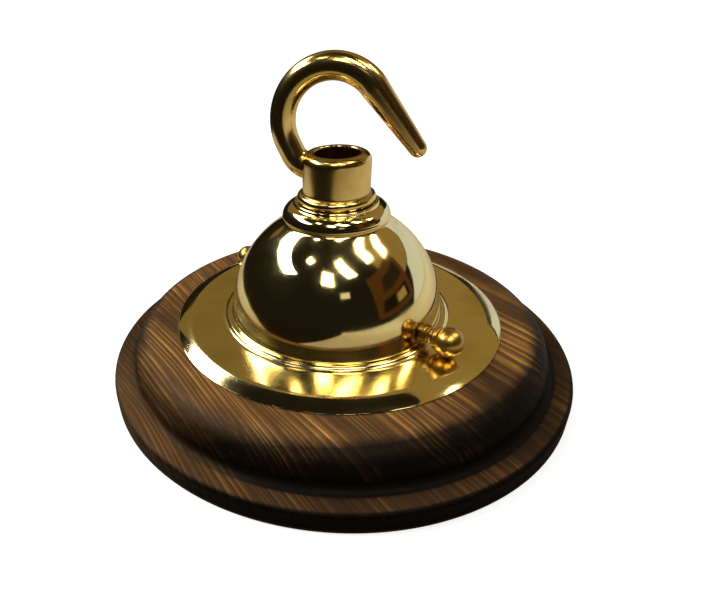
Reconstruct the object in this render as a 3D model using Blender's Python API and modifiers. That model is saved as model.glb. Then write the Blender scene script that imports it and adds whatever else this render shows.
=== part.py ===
"""Ceiling hook plate: a spun brass cover with a cast hook, on a turned wooden block.

The block's flat back is at z = 0 and its axis is the Z axis. In use the whole fitting
hangs upside down from a ceiling; here it stands on its back, as on a bench.
"""

import math

import bmesh
import bpy
from mathutils import Vector

# Driving sizes in metres
JOINT_GAP = 0.0003            # between pieces that touch
TURNED_STEPS = 56             # facets round the block and the cover
SMALL_STEPS = 20              # facets round screws, washers and the collar

BLOCK_DIAMETER = 0.150
BLOCK_HEIGHT = 0.018
FOOT_HEIGHT = 0.0068
FOOT_ROUND = 0.0016
FOOT_CHAMFER = 0.0006
LEDGE_WIDTH = 0.0052
COVE_RADIUS = 0.0026
SHOULDER_ROUND = 0.0086
CABLE_HOLE_DIAMETER = 0.014

COVER_DIAMETER = 0.1048
COVER_THICKNESS = 0.0008
FLANGE_LIFT = 0.0002
RIM_WIDTH = 0.0039
RIM_CREST = 0.0003
RIM_EDGE = 0.0006
STEP_HEIGHT = 0.0009
STEP_WIDTH = 0.0024
STEP_ROUND = 0.0009
DOME_DIAMETER = 0.0675
DOME_RISE = 0.0344
DOME_FILLET = 0.0007
NECK_WIDTH = 0.0056
NECK_HEIGHT = 0.0050
CUP_DIAMETER = 0.0326
CUP_HEIGHT = 0.0050
CUP_EDGE = 0.0006
CUP_TOP_MARGIN = 0.0003

COLLAR_DIAMETER = 0.020
COLLAR_HEIGHT = 0.0142
COLLAR_LIP = 0.0023
COLLAR_BORE = 0.0133
BEAD_DIAMETER = 0.0234
BEAD_HEIGHT = 0.0027

HOOK_ANGLE = -11.0            # degrees about Z from +X to the hook's tip
HOOK_ROD = 0.0074
HOOK_TIP_ROD = 0.0048
HOOK_BEND = 0.0143
HOOK_OFFSET = 0.0015          # from the axis back to the centre of the bend
HOOK_CLEARANCE = 0.0082       # from the collar's rim up to the centre of the bend
HOOK_TINE = 0.0225
HOOK_TINE_ANGLE = 39.0        # degrees round the bend where the tine leaves it
HOOK_LIMB_ANGLE = 206.5       # degrees round the bend where the limb leaves it
HOOK_LIMB = 0.0032
HOOK_ROOT_BEND = 0.0060
HOOK_ROOT_TURN = 68.0         # degrees that the root turns in towards the collar
HOOK_SIDES = 5                # bevel steps round the rod

NIPPLE_WALL = 0.0016
NIPPLE_ENGAGEMENT = 0.0085
NIPPLE_TAIL = 0.0022
NUT_RING = 0.0026
NUT_HEIGHT = 0.0040
FLAT_WASHER_RING = 0.0042
FLAT_WASHER_THICKNESS = 0.0012
SPRING_WASHER_RING = 0.0026
SPRING_WASHER_THICKNESS = 0.0016
SPRING_WASHER_SLIT = 0.0012
SPRING_WASHER_SLANT = 20.0

SCREW_ANGLE = -40.0           # degrees about Z from +X to the front thumb screw
THUMB_SHANK = 0.0040
THUMB_BALL = 0.0096
THUMB_COLLAR = 0.0052
THUMB_COLLAR_LENGTH = 0.0014
THUMB_NECK = 0.0034
THUMB_NECK_LENGTH = 0.0018
THUMB_REACH = 0.0012          # how far the shank stands past the strap's inner face
THUMB_WASHER_RING = 0.0005
THUMB_WASHER_THICKNESS = 0.0009
THUMB_CLEARANCE = 0.0003      # from the ball to the flange below it

STRAP_WIDTH = 0.012
STRAP_THICKNESS = 0.002
STRAP_BEND = 0.0030
STRAP_WALL_GAP = 0.0008
STRAP_EAR_MARGIN = 0.0022     # strap left above each tapped hole
STRAP_HOLE_DIAMETER = 0.012
STRAP_LAND = 0.0006           # strap left bare beside a screw head

WOOD_SCREW_SHANK = 0.0035
WOOD_SCREW_HEAD = 0.0068
WOOD_SCREW_HEAD_HEIGHT = 0.0024
WOOD_SCREW_DEPTH = 0.0115
WOOD_SCREW_POINT = 0.0030
SLOT_WIDTH = 0.0009
SLOT_DEPTH = 0.0009

# Levels and radii that follow from the driving sizes
BLOCK_RADIUS = BLOCK_DIAMETER / 2
SEAT = BLOCK_HEIGHT + JOINT_GAP
FLANGE_TOP = SEAT + FLANGE_LIFT + COVER_THICKNESS
STEP_TOP = FLANGE_TOP + STEP_HEIGHT
DOME_RADIUS = DOME_DIAMETER / 2
DOME_CENTRE = STEP_TOP
CUP_RADIUS = CUP_DIAMETER / 2
CUP_TOP_RADIUS = BEAD_DIAMETER / 2 + CUP_TOP_MARGIN
NIPPLE_RADIUS = COLLAR_BORE / 2 - JOINT_GAP
NIPPLE_CLEARANCE_RADIUS = NIPPLE_RADIUS + JOINT_GAP


def dome_radius_at(level, wall=0.0):
    """Radius of the dome's ellipse at a level, on a skin set in by wall."""
    rise = DOME_RISE - wall
    return (DOME_RADIUS - wall) * math.sqrt(max(0.0, 1 - ((level - DOME_CENTRE) / rise) ** 2))


def dome_level_at(radius, wall=0.0):
    """Level on the upper half of the dome's ellipse at a radius."""
    across = DOME_RADIUS - wall
    return DOME_CENTRE + (DOME_RISE - wall) * math.sqrt(max(0.0, 1 - (radius / across) ** 2))


DOME_FOOT = dome_radius_at(STEP_TOP)
STEP_RADIUS = DOME_FOOT + STEP_WIDTH
NECK_START = CUP_RADIUS + NECK_WIDTH
CUP_BASE = dome_level_at(NECK_START) + NECK_HEIGHT
CUP_TOP = CUP_BASE + CUP_HEIGHT
COLLAR_FOOT = CUP_TOP + JOINT_GAP
COLLAR_TOP = COLLAR_FOOT + COLLAR_HEIGHT
HOOK_CENTRE = COLLAR_TOP + HOOK_CLEARANCE

THUMB_WASHER_HOLE = THUMB_SHANK / 2 + JOINT_GAP
THUMB_WASHER_RADIUS = max(THUMB_WASHER_HOLE + THUMB_WASHER_RING, THUMB_COLLAR / 2)
SCREW_LEVEL = max(FLANGE_TOP + THUMB_CLEARANCE + THUMB_BALL / 2,
                  STEP_TOP + JOINT_GAP + THUMB_WASHER_RADIUS)
THUMB_WASHER_FACE = dome_radius_at(max(SCREW_LEVEL - THUMB_WASHER_RADIUS, DOME_CENTRE)) + JOINT_GAP
THUMB_COLLAR_FACE = THUMB_WASHER_FACE + THUMB_WASHER_THICKNESS + JOINT_GAP
THUMB_NECK_FACE = THUMB_COLLAR_FACE + THUMB_COLLAR_LENGTH
THUMB_BALL_CENTRE = THUMB_NECK_FACE + THUMB_NECK_LENGTH + THUMB_BALL / 2

STRAP_EAR_TOP = SCREW_LEVEL + THUMB_SHANK / 2 + STRAP_EAR_MARGIN
STRAP_CORNER = dome_radius_at(STRAP_EAR_TOP, COVER_THICKNESS) - STRAP_WALL_GAP
STRAP_REACH = math.sqrt(STRAP_CORNER ** 2 - (STRAP_WIDTH / 2) ** 2)
STRAP_FACE = SEAT + STRAP_THICKNESS
WOOD_SCREW_OFFSET = STRAP_HOLE_DIAMETER / 2 + STRAP_LAND + WOOD_SCREW_HEAD / 2
THUMB_TIP = STRAP_REACH - STRAP_THICKNESS - THUMB_REACH


# Scene helpers
def clear_scene():
    for item in list(bpy.data.objects):
        bpy.data.objects.remove(item, do_unlink=True)


def new_collection(name):
    collection = bpy.data.collections.new(name)
    bpy.context.scene.collection.children.link(collection)
    return collection


def new_material(name, colour, roughness, metallic):
    material = bpy.data.materials.new(name)
    material.use_nodes = True
    shader = material.node_tree.nodes["Principled BSDF"]
    shader.inputs["Base Color"].default_value = (*colour, 1.0)
    shader.inputs["Roughness"].default_value = roughness
    shader.inputs["Metallic"].default_value = metallic
    return material


def add_part(name, mesh, material):
    """A named piece of the fitting."""
    piece = bpy.data.objects.new(name, mesh)
    mesh.materials.append(material)
    PARTS.objects.link(piece)
    return piece


def add_tool(name, mesh):
    """A shape that only cuts or joins other pieces."""
    tool = bpy.data.objects.new(name, mesh)
    tool.hide_render = True
    tool.display_type = "WIRE"
    TOOLS.objects.link(tool)
    return tool


def add_boolean(piece, tool, operation):
    modifier = piece.modifiers.new(f"{operation.lower()} {tool.name}", "BOOLEAN")
    modifier.operation = operation
    modifier.object = tool


# Shape helpers
def arc(centre, radii, start, end, count):
    """Points on an ellipse about centre, from start to end degrees."""
    points = []
    for index in range(count + 1):
        angle = math.radians(start + (end - start) * index / count)
        points.append((centre[0] + radii[0] * math.cos(angle), centre[1] + radii[1] * math.sin(angle)))
    return points


def bezier(start, control, end, count):
    """Points on a quadratic curve from start to end, without its start."""
    points = []
    for index in range(1, count + 1):
        t = index / count
        points.append(tuple((1 - t) ** 2 * start[axis] + 2 * t * (1 - t) * control[axis] + t * t * end[axis]
                            for axis in (0, 1)))
    return points


def profile_mesh(name, points, closed):
    """A chain of edges in the XZ plane, closed into a loop for a ring."""
    mesh = bpy.data.meshes.new(name)
    edges = [(index, index + 1) for index in range(len(points) - 1)]
    if closed:
        edges.append((len(points) - 1, 0))
    mesh.from_pydata([(radius, 0.0, level) for radius, level in points], edges, [])
    return mesh


def turn(piece, steps):
    """Turn a profile once round its Z axis."""
    screw = piece.modifiers.new("turned", "SCREW")
    screw.axis = "Z"
    screw.angle = math.tau
    screw.steps = steps
    screw.render_steps = steps
    screw.use_merge_vertices = True
    screw.merge_threshold = 0.000001
    screw.use_smooth_shade = True
    return piece


def turned_part(name, points, closed, steps, material):
    return turn(add_part(name, profile_mesh(name, points, closed), material), steps)


def ring_points(inner, outer, low, high):
    """The section of a plain ring, down its outer side and up its bore."""
    return [(inner, high), (outer, high), (outer, low), (inner, low)]


def rod_tool(name, radius, start, end):
    """A round bar between two points, for drilling a hole."""
    mesh = bpy.data.meshes.new(name)
    shape = bmesh.new()
    axis = Vector(end) - Vector(start)
    bmesh.ops.create_cone(shape, cap_ends=True, segments=SMALL_STEPS, radius1=radius, radius2=radius,
                          depth=axis.length)
    shape.to_mesh(mesh)
    shape.free()
    tool = add_tool(name, mesh)
    tool.rotation_mode = "QUATERNION"
    tool.rotation_quaternion = axis.to_track_quat("Z", "Y")
    tool.location = (Vector(start) + Vector(end)) / 2
    return tool


def box_tool(name, size, location, angle):
    """A box turned about Z, for cutting a slot."""
    mesh = bpy.data.meshes.new(name)
    shape = bmesh.new()
    bmesh.ops.create_cube(shape, size=1.0)
    bmesh.ops.scale(shape, vec=size, verts=shape.verts)
    shape.to_mesh(mesh)
    shape.free()
    tool = add_tool(name, mesh)
    tool.location = location
    tool.rotation_euler = (0.0, 0.0, angle)
    return tool


def along_strap(distance, level, angle=math.radians(SCREW_ANGLE)):
    """A point on the strap's centre line, at a distance from the axis."""
    return (distance * math.cos(angle), distance * math.sin(angle), level)


# Wooden block
def block_points():
    """Flat top, quarter-round shoulder, cove, ledge and rounded foot, with the cable hole."""
    bore = CABLE_HOLE_DIAMETER / 2
    cove_top = FOOT_HEIGHT + COVE_RADIUS
    shoulder = BLOCK_RADIUS - LEDGE_WIDTH - COVE_RADIUS
    points = [(bore, BLOCK_HEIGHT)]
    points += arc((shoulder - SHOULDER_ROUND, cove_top), (SHOULDER_ROUND, BLOCK_HEIGHT - cove_top), 90, 0, 8)
    points += arc((shoulder + COVE_RADIUS, cove_top), (COVE_RADIUS, COVE_RADIUS), 180, 270, 4)[1:]
    points += arc((BLOCK_RADIUS - FOOT_ROUND, FOOT_HEIGHT - FOOT_ROUND), (FOOT_ROUND, FOOT_ROUND), 90, 0, 4)
    points += [(BLOCK_RADIUS, FOOT_CHAMFER), (BLOCK_RADIUS - FOOT_CHAMFER, 0.0), (bore, 0.0)]
    return points


def make_block():
    block = turned_part("pattress_block", block_points(), True, TURNED_STEPS, PINE)
    for side, sign in (("front", 1), ("back", -1)):
        place = along_strap(sign * WOOD_SCREW_OFFSET, BLOCK_HEIGHT - WOOD_SCREW_DEPTH - JOINT_GAP)
        mouth = along_strap(sign * WOOD_SCREW_OFFSET, BLOCK_HEIGHT + WOOD_SCREW_POINT)
        pilot = rod_tool(f"pilot_hole_{side}", WOOD_SCREW_SHANK / 2 + JOINT_GAP, place, mouth)
        add_boolean(block, pilot, "DIFFERENCE")


# Spun brass cover
def cover_outside():
    """Top of the cup down over the dome, the step and the flange to the rim's lower edge."""
    rim = COVER_DIAMETER / 2
    crest = rim - RIM_WIDTH
    foot_start = math.degrees(math.asin((STEP_TOP + DOME_FILLET - DOME_CENTRE) / DOME_RISE))
    neck_start = math.degrees(math.acos(NECK_START / DOME_RADIUS))
    neck_level = dome_level_at(NECK_START)
    slope = (DOME_RISE / DOME_RADIUS) ** 2 * NECK_START / (neck_level - DOME_CENTRE)
    notch = CUP_RADIUS - CUP_EDGE
    points = [(NIPPLE_CLEARANCE_RADIUS, CUP_TOP), (CUP_TOP_RADIUS, CUP_TOP)]
    points += arc((notch, CUP_BASE + 2 * CUP_EDGE), (CUP_EDGE, CUP_EDGE), 50, -60, 3)
    points += [(notch, CUP_BASE)]
    neck_top = (notch, CUP_BASE)
    neck_control = (notch, neck_level + slope * (NECK_START - notch))
    neck_foot = (NECK_START, neck_level)
    points += bezier(neck_top, neck_control, neck_foot, 4)
    points += arc((0.0, DOME_CENTRE), (DOME_RADIUS, DOME_RISE), neck_start, foot_start, 10)[1:]
    points += [(DOME_FOOT + DOME_FILLET, STEP_TOP)]
    points += arc((STEP_RADIUS - STEP_ROUND, STEP_TOP - STEP_ROUND), (STEP_ROUND, STEP_ROUND), 90, 30, 2)
    points += [(STEP_RADIUS + STEP_HEIGHT, FLANGE_TOP), (crest - RIM_CREST, FLANGE_TOP)]
    points += arc((crest, SEAT + RIM_EDGE), (RIM_WIDTH, FLANGE_TOP + RIM_CREST - SEAT - RIM_EDGE), 90, 0, 4)
    points += [(rim, SEAT)]
    return points


def cover_inside():
    """The rim's lower edge, under the flange and up inside the dome to the cup."""
    wall = COVER_THICKNESS
    rim = COVER_DIAMETER / 2 - wall
    underside = FLANGE_TOP - wall
    neck_start = NECK_START - wall
    foot_start = math.degrees(math.asin((STEP_TOP - DOME_CENTRE) / (DOME_RISE - wall)))
    neck_angle = math.degrees(math.acos(neck_start / (DOME_RADIUS - wall)))
    cup = CUP_RADIUS - CUP_EDGE - wall
    points = [(rim, SEAT), (rim, underside)]
    points += [(STEP_RADIUS, underside), (STEP_RADIUS - STEP_ROUND, STEP_TOP - wall)]
    points += [(dome_radius_at(STEP_TOP, wall) + DOME_FILLET, STEP_TOP - wall)]
    points += arc((0.0, DOME_CENTRE), (DOME_RADIUS - wall, DOME_RISE - wall), foot_start, neck_angle, 7)
    points += [(cup, CUP_BASE), (CUP_TOP_RADIUS - wall, CUP_TOP - wall)]
    points += [(NIPPLE_CLEARANCE_RADIUS, CUP_TOP - wall)]
    return points


def make_cover():
    cover = turned_part("cover", cover_outside() + cover_inside(), True, TURNED_STEPS, BRASS)
    reach = DOME_RADIUS + THUMB_WASHER_THICKNESS
    drill = rod_tool("cover_cross_hole", THUMB_SHANK / 2 + JOINT_GAP, along_strap(-reach, SCREW_LEVEL),
                     along_strap(reach, SCREW_LEVEL))
    add_boolean(cover, drill, "DIFFERENCE")


# Hook casting, its nipple and the fastenings inside the cup
def collar_points():
    """Rounded rim, straight collar and half-round bead, before the bore is drilled."""
    collar = COLLAR_DIAMETER / 2
    half_bead = BEAD_HEIGHT / 2
    points = [(0.0, COLLAR_TOP)]
    points += arc((collar - COLLAR_LIP, COLLAR_TOP - COLLAR_LIP), (COLLAR_LIP, COLLAR_LIP), 90, 0, 4)
    points += [(collar, COLLAR_FOOT + BEAD_HEIGHT)]
    points += arc((BEAD_DIAMETER / 2 - half_bead, COLLAR_FOOT + half_bead), (half_bead, half_bead), 80, -90, 5)
    points += [(0.0, COLLAR_FOOT)]
    return points


def hook_path():
    """Distance from the axis, level and rod radius along the hook, from its root to its tip."""
    centre = (-HOOK_OFFSET, HOOK_CENTRE)
    rod = HOOK_ROD / 2
    tip = HOOK_TIP_ROD / 2
    limb = math.radians(HOOK_LIMB_ANGLE)
    limb_end = (centre[0] + HOOK_BEND * math.cos(limb) - HOOK_LIMB * math.sin(limb),
                centre[1] + HOOK_BEND * math.sin(limb) + HOOK_LIMB * math.cos(limb))
    root_centre = (limb_end[0] - HOOK_ROOT_BEND * math.cos(limb), limb_end[1] - HOOK_ROOT_BEND * math.sin(limb))
    root = arc(root_centre, (HOOK_ROOT_BEND, HOOK_ROOT_BEND), HOOK_LIMB_ANGLE + HOOK_ROOT_TURN,
               HOOK_LIMB_ANGLE, 6)
    bend = arc(centre, (HOOK_BEND, HOOK_BEND), HOOK_LIMB_ANGLE, HOOK_TINE_ANGLE, 14)
    path = [(*point, rod) for point in root + bend]
    tine = math.radians(HOOK_TINE_ANGLE)
    along = (math.sin(tine), -math.cos(tine))
    start = bend[-1]
    straight = HOOK_TINE - tip
    for index in range(1, 6):
        share = index / 5
        path.append((start[0] + along[0] * straight * share, start[1] + along[1] * straight * share,
                     rod + (tip - rod) * share))
    for angle in (30, 55, 75, 87):
        reach = straight + tip * math.sin(math.radians(angle))
        path.append((start[0] + along[0] * reach, start[1] + along[1] * reach,
                     tip * math.cos(math.radians(angle))))
    return path


def make_hook_rod():
    """The bent rod as a mesh, ready to be joined to the collar."""
    path = hook_path()
    curve = bpy.data.curves.new("hook_rod", "CURVE")
    curve.dimensions = "3D"
    curve.bevel_depth = 1.0
    curve.bevel_resolution = HOOK_SIDES
    curve.use_fill_caps = True
    spline = curve.splines.new("POLY")
    spline.points.add(len(path) - 1)
    angle = math.radians(HOOK_ANGLE)
    for point, (distance, level, radius) in zip(spline.points, path):
        point.co = (distance * math.cos(angle), distance * math.sin(angle), level, 1.0)
        point.radius = radius
    wire = bpy.data.objects.new("hook_wire", curve)
    TOOLS.objects.link(wire)
    graph = bpy.context.evaluated_depsgraph_get()
    mesh = bpy.data.meshes.new_from_object(wire.evaluated_get(graph))
    shape = bmesh.new()
    shape.from_mesh(mesh)
    bmesh.ops.remove_doubles(shape, verts=shape.verts, dist=0.000001)
    bmesh.ops.recalc_face_normals(shape, faces=shape.faces)
    shape.to_mesh(mesh)
    shape.free()
    rod = add_tool("hook_rod", mesh)
    rod.matrix_world = wire.matrix_world
    bpy.data.objects.remove(wire, do_unlink=True)
    return rod


def make_hook(pivot):
    """Collar and rod cast in one piece, with the cable bore through the collar."""
    hook = turned_part("hook_casting", collar_points(), False, 2 * SMALL_STEPS, BRASS)
    add_boolean(hook, make_hook_rod(), "UNION")
    bore = rod_tool("collar_bore", COLLAR_BORE / 2, (0, 0, COLLAR_FOOT - BEAD_HEIGHT),
                    (0, 0, COLLAR_TOP + BEAD_HEIGHT))
    add_boolean(hook, bore, "DIFFERENCE")
    hook.parent = pivot


def make_fastenings(pivot):
    """Nipple, washers and lock nut that hold the hook to the cover from inside."""
    hole = NIPPLE_CLEARANCE_RADIUS
    washer_top = CUP_TOP - COVER_THICKNESS - JOINT_GAP
    spring_top = washer_top - FLAT_WASHER_THICKNESS - JOINT_GAP
    nut_top = spring_top - SPRING_WASHER_THICKNESS - JOINT_GAP
    nut_low = nut_top - NUT_HEIGHT
    nipple = ring_points(NIPPLE_RADIUS - NIPPLE_WALL, NIPPLE_RADIUS, nut_low - NIPPLE_TAIL,
                         COLLAR_FOOT + NIPPLE_ENGAGEMENT)
    turned_part("hollow_nipple", nipple, True, SMALL_STEPS, BRASS).parent = pivot

    flat = ring_points(hole, hole + FLAT_WASHER_RING, washer_top - FLAT_WASHER_THICKNESS, washer_top)
    turned_part("flat_washer", flat, True, SMALL_STEPS, STEEL)

    spring_radius = hole + SPRING_WASHER_RING
    spring = ring_points(hole, spring_radius, spring_top - SPRING_WASHER_THICKNESS, spring_top)
    washer = turned_part("spring_washer", spring, True, SMALL_STEPS, STEEL)
    slit = box_tool("spring_washer_slit", (2 * spring_radius, SPRING_WASHER_SLIT, 4 * SPRING_WASHER_THICKNESS),
                    (spring_radius, 0.0, spring_top), 0.0)
    slit.rotation_euler = (math.radians(SPRING_WASHER_SLANT), 0.0, 0.0)
    add_boolean(washer, slit, "DIFFERENCE")

    mesh = bpy.data.meshes.new("lock_nut")
    shape = bmesh.new()
    corner = (hole + NUT_RING) / math.cos(math.pi / 6)
    bmesh.ops.create_cone(shape, cap_ends=True, segments=6, radius1=corner, radius2=corner, depth=NUT_HEIGHT)
    bmesh.ops.translate(shape, vec=(0.0, 0.0, (nut_top + nut_low) / 2), verts=shape.verts)
    shape.to_mesh(mesh)
    shape.free()
    nut = add_part("lock_nut", mesh, BRASS)
    tapped = rod_tool("nut_bore", hole, (0, 0, nut_low - NUT_HEIGHT), (0, 0, nut_top + NUT_HEIGHT))
    add_boolean(nut, tapped, "DIFFERENCE")
    nut.parent = pivot


# Thumb screws
def thumb_screw_points():
    """Shank, collar, neck and ball, measured outwards from the fitting's axis."""
    ball = THUMB_BALL / 2
    neck = THUMB_NECK / 2
    meet = math.degrees(math.acos(neck / ball))
    points = arc((0.0, THUMB_BALL_CENTRE), (ball, ball), 90, -meet, 7)
    points[0] = (0.0, points[0][1])
    points += [(neck, THUMB_NECK_FACE), (THUMB_COLLAR / 2, THUMB_NECK_FACE)]
    points += [(THUMB_COLLAR / 2, THUMB_COLLAR_FACE), (THUMB_SHANK / 2, THUMB_COLLAR_FACE)]
    points += [(THUMB_SHANK / 2, THUMB_TIP), (0.0, THUMB_TIP)]
    return points


def make_thumb_screw(side, angle):
    """A ball-headed screw and its washer, turned about a pivot on the screw's own axis."""
    pivot = bpy.data.objects.new(f"thumb_pivot_{side}", None)
    PARTS.objects.link(pivot)
    pivot.location = (0.0, 0.0, SCREW_LEVEL)
    pivot.rotation_euler = (0.0, math.pi / 2, angle)
    screw = turned_part(f"thumb_screw_{side}", thumb_screw_points(), False, SMALL_STEPS, BRASS)
    screw.parent = pivot
    ring = ring_points(THUMB_WASHER_HOLE, THUMB_WASHER_RADIUS, THUMB_WASHER_FACE,
                       THUMB_WASHER_FACE + THUMB_WASHER_THICKNESS)
    washer = turned_part(f"thumb_washer_{side}", ring, True, SMALL_STEPS, BRASS)
    washer.parent = pivot


# Fixing strap and the wood screws that hold it down
def strap_path():
    """Outer face of the strap from one ear's top, under the dome, to the other ear's top."""
    inner = STRAP_REACH - STRAP_BEND
    low = SEAT + STRAP_BEND
    left = arc((-inner, low), (STRAP_BEND, STRAP_BEND), 180, 270, 4)
    right = arc((inner, low), (STRAP_BEND, STRAP_BEND), 270, 360, 4)
    return [(-STRAP_REACH, STRAP_EAR_TOP)] + left + right + [(STRAP_REACH, STRAP_EAR_TOP)]


def make_strap():
    """A flat strap with its ends turned up, drilled for the cable and the screws."""
    path = strap_path()
    half = STRAP_WIDTH / 2
    points = [(along, -half, level) for along, level in path] + [(along, half, level) for along, level in path]
    count = len(path)
    faces = [(index, index + count, index + count + 1, index + 1) for index in range(count - 1)]
    mesh = bpy.data.meshes.new("fixing_strap")
    mesh.from_pydata(points, [], faces)
    strap = add_part("fixing_strap", mesh, STEEL)
    sheet = strap.modifiers.new("sheet", "SOLIDIFY")
    sheet.thickness = STRAP_THICKNESS
    sheet.offset = -1.0
    sheet.use_even_offset = True
    strap.rotation_euler = (0.0, 0.0, math.radians(SCREW_ANGLE))
    over = STRAP_FACE + STRAP_THICKNESS
    cable = rod_tool("strap_cable_hole", STRAP_HOLE_DIAMETER / 2, (0, 0, SEAT - STRAP_THICKNESS), (0, 0, over))
    add_boolean(strap, cable, "DIFFERENCE")
    reach = STRAP_REACH + STRAP_THICKNESS
    tapped = rod_tool("strap_tapped_holes", THUMB_SHANK / 2 + JOINT_GAP, along_strap(-reach, SCREW_LEVEL),
                      along_strap(reach, SCREW_LEVEL))
    add_boolean(strap, tapped, "DIFFERENCE")
    for side, sign in (("front", 1), ("back", -1)):
        place = along_strap(sign * WOOD_SCREW_OFFSET, SEAT - STRAP_THICKNESS)
        mouth = along_strap(sign * WOOD_SCREW_OFFSET, over)
        hole = rod_tool(f"strap_screw_hole_{side}", WOOD_SCREW_SHANK / 2 + JOINT_GAP, place, mouth)
        add_boolean(strap, hole, "DIFFERENCE")


def wood_screw_points():
    """Round head, plain shank and point, with the head's seat at level 0."""
    shank = WOOD_SCREW_SHANK / 2
    depth = STRAP_FACE + JOINT_GAP - BLOCK_HEIGHT + WOOD_SCREW_DEPTH
    points = arc((0.0, 0.0), (WOOD_SCREW_HEAD / 2, WOOD_SCREW_HEAD_HEIGHT), 90, 0, 5)
    points[0] = (0.0, points[0][1])
    points += [(shank, 0.0), (shank, WOOD_SCREW_POINT - depth), (0.0, -depth)]
    return points


def make_wood_screw(side, sign):
    screw = turned_part(f"strap_screw_{side}", wood_screw_points(), False, SMALL_STEPS, STEEL)
    seat = STRAP_FACE + JOINT_GAP
    screw.location = along_strap(sign * WOOD_SCREW_OFFSET, seat)
    slot_top = seat + WOOD_SCREW_HEAD_HEIGHT
    slot = box_tool(f"screw_slot_{side}", (2 * WOOD_SCREW_HEAD, SLOT_WIDTH, 2 * SLOT_DEPTH),
                    along_strap(sign * WOOD_SCREW_OFFSET, slot_top), math.radians(SCREW_ANGLE * sign))
    add_boolean(screw, slot, "DIFFERENCE")


clear_scene()
PARTS = new_collection("ceiling_hook_plate")
TOOLS = new_collection("cutters")
BRASS = new_material("polished_brass", (0.72, 0.50, 0.17), 0.08, 1.0)
PINE = new_material("dark_stained_pine", (0.13, 0.07, 0.03), 0.45, 0.0)
STEEL = new_material("zinc_plated_steel", (0.60, 0.60, 0.58), 0.35, 1.0)

make_block()
make_cover()
hook_pivot = bpy.data.objects.new("hook_pivot", None)
PARTS.objects.link(hook_pivot)
make_hook(hook_pivot)
make_fastenings(hook_pivot)
make_strap()
make_wood_screw("front", 1)
make_wood_screw("back", -1)
make_thumb_screw("front", math.radians(SCREW_ANGLE))
make_thumb_screw("back", math.radians(SCREW_ANGLE) + math.pi)
bpy.context.view_layer.update()
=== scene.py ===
"""Ceiling hook plate: mirror-polished brass cover, collar and hook on a turned, dark-stained softwood block.

Sizes are metres. The block's flat back is on the floor and the common axis is Z.
"""
import math

import bmesh
import bpy
import numpy as np
from mathutils import Matrix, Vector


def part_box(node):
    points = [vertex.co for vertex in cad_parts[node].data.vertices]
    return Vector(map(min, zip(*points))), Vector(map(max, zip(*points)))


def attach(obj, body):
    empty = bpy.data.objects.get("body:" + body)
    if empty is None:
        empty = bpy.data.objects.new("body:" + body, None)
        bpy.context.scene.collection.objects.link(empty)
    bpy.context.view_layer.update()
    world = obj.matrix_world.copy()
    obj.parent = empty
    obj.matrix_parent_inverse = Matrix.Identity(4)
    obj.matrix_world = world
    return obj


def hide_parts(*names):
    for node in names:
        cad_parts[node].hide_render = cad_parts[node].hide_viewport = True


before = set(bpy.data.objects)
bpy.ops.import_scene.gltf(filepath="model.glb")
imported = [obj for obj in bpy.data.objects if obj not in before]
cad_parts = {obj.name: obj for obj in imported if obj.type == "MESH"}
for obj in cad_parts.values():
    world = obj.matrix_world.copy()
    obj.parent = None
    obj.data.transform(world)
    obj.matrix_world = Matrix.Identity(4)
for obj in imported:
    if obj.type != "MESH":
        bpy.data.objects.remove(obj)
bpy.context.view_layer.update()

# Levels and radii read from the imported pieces
BLOCK_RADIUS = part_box("pattress_block")[1].x
BLOCK_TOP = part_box("pattress_block")[1].z
COVER_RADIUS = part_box("cover")[1].x
COVER_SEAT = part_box("cover")[0].z
CUP_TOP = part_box("cover")[1].z
COLLAR_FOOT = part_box("hook_casting")[0].z
NIPPLE_LOW, NIPPLE_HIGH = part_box("hollow_nipple")[0].z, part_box("hollow_nipple")[1].z
NIPPLE_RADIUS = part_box("hollow_nipple")[1].x
SCREW_LEVEL = (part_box("thumb_screw_front")[0].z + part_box("thumb_screw_front")[1].z) / 2

# Sizes repeated from the solids
SCREW_ANGLE = math.radians(-40)
HOOK_ANGLE = math.radians(-11)
COLLAR_RADIUS = 0.0100
COLLAR_HEIGHT = 0.0142
BORE_RADIUS = 0.00665
BORE_ROWS = 12
BEAD_RADIUS = 0.0117
DOME_RADIUS, DOME_RISE = 0.03375, 0.0344
DOME_LEVEL = COVER_SEAT + 0.0019
SHEET = 0.0008
SHOULDER_RADIUS = BLOCK_RADIUS - 0.0078
SHOULDER_ROUND = 0.0086
COVE_LEVEL = 0.0094
COVE_ROUND = 0.0026
FOOT_LEVEL = 0.0068
FOOT_ROUND = 0.0016


# Curves for sections, as arrays of distance from the axis and level
def arc(centre, radii, start, end, count):
    """Points on an ellipse about centre, at even angles from start to end degrees."""
    angle = np.radians(np.linspace(start, end, count))
    return np.column_stack((centre[0] + radii[0] * np.cos(angle), centre[1] + radii[1] * np.sin(angle)))


def run(start, end, count):
    """Points at even steps on the straight line from start to end."""
    return np.linspace(start, end, count)


def sway(start, control, end, count):
    """Points on the quadratic curve from start to end that leaves and arrives along lines through control."""
    t = np.linspace(0, 1, count)[:, None]
    return (1 - t) ** 2 * np.array(start) + 2 * t * (1 - t) * np.array(control) + t * t * np.array(end)


def chain(*runs):
    """Runs of points joined end to end, without points that fall within five micrometres of the one before."""
    points = np.vstack(runs)
    gap = np.linalg.norm(np.diff(points, axis=0), axis=1)
    return points[np.concatenate(([True], gap > 5e-6))]


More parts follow.
